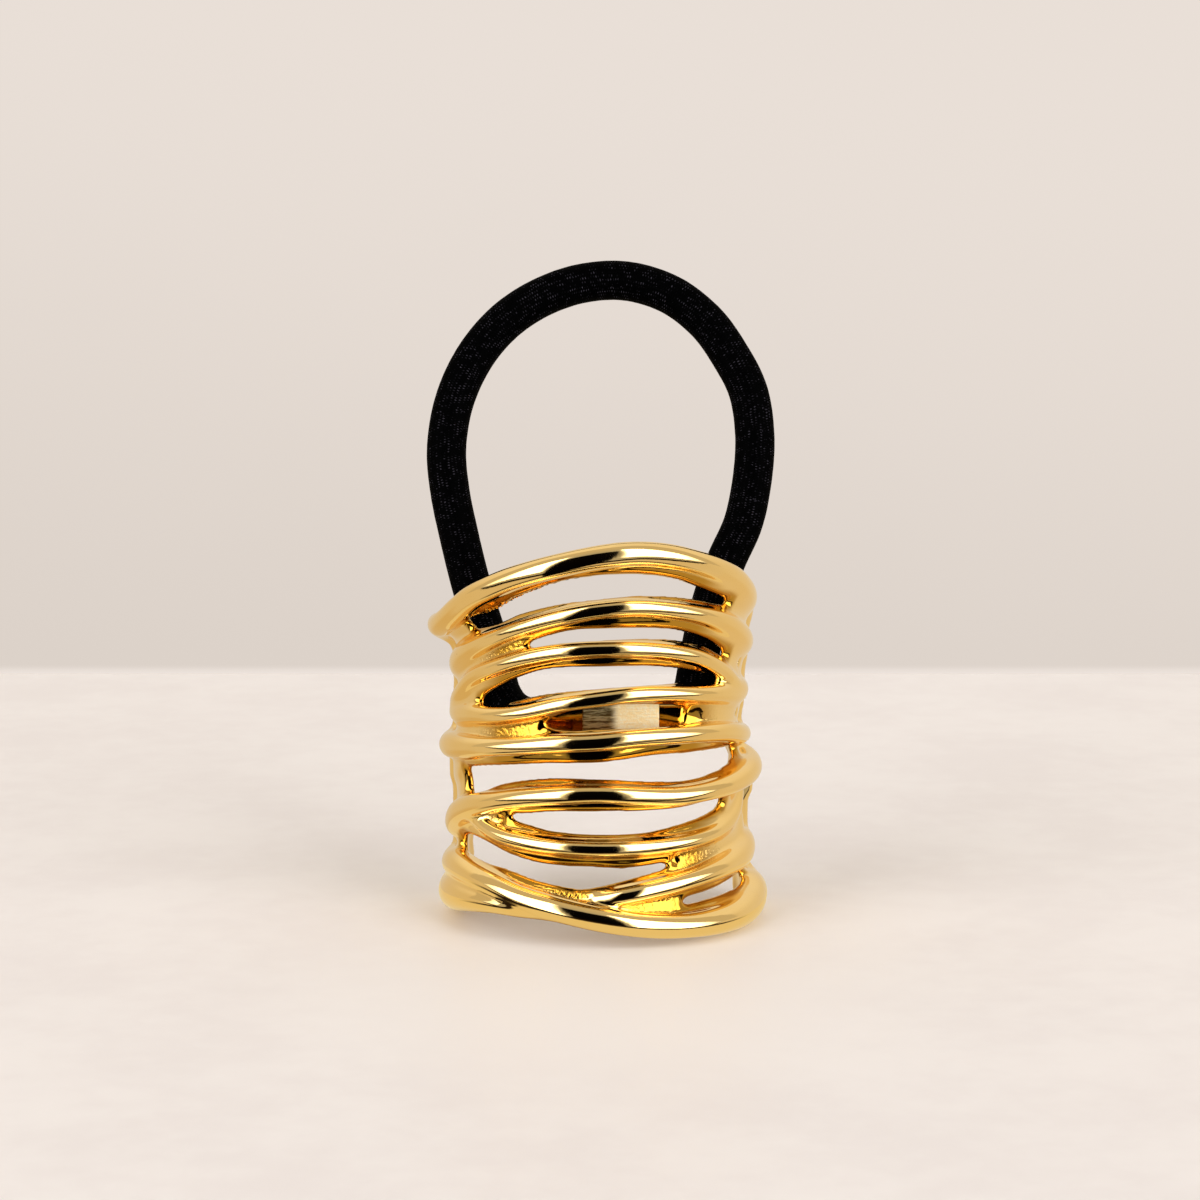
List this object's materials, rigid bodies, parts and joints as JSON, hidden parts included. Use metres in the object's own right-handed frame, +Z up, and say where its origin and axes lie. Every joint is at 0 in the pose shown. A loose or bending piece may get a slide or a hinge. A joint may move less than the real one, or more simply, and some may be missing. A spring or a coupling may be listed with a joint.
{
  "type": "metal cuff hair tie",
  "caption": "Ponytail holder: a C-shaped cast metal cuff of fused wires with a covered elastic loop crimped to a bar inside it.",
  "frame": {"origin": "middle of the hair passage, level with the floor that the lower rim stands on", "axes": "+Z up along the hair passage, -Y towards the front of the cuff, +X to the right as seen from the front"},
  "size_m": [0.0392, 0.0298, 0.0733],
  "materials": {
    "cast_gold": "mirror-polished gold plate",
    "brushed_gold": "brushed gold plate",
    "knit_elastic": "fine knitted cover, matt"
  },
  "bodies": {
    "root": {"wire_cuff": "cast_gold", "crimp_band": "brushed_gold", "elastic_loop": "knit_elastic"}
  },
  "joints": []
}
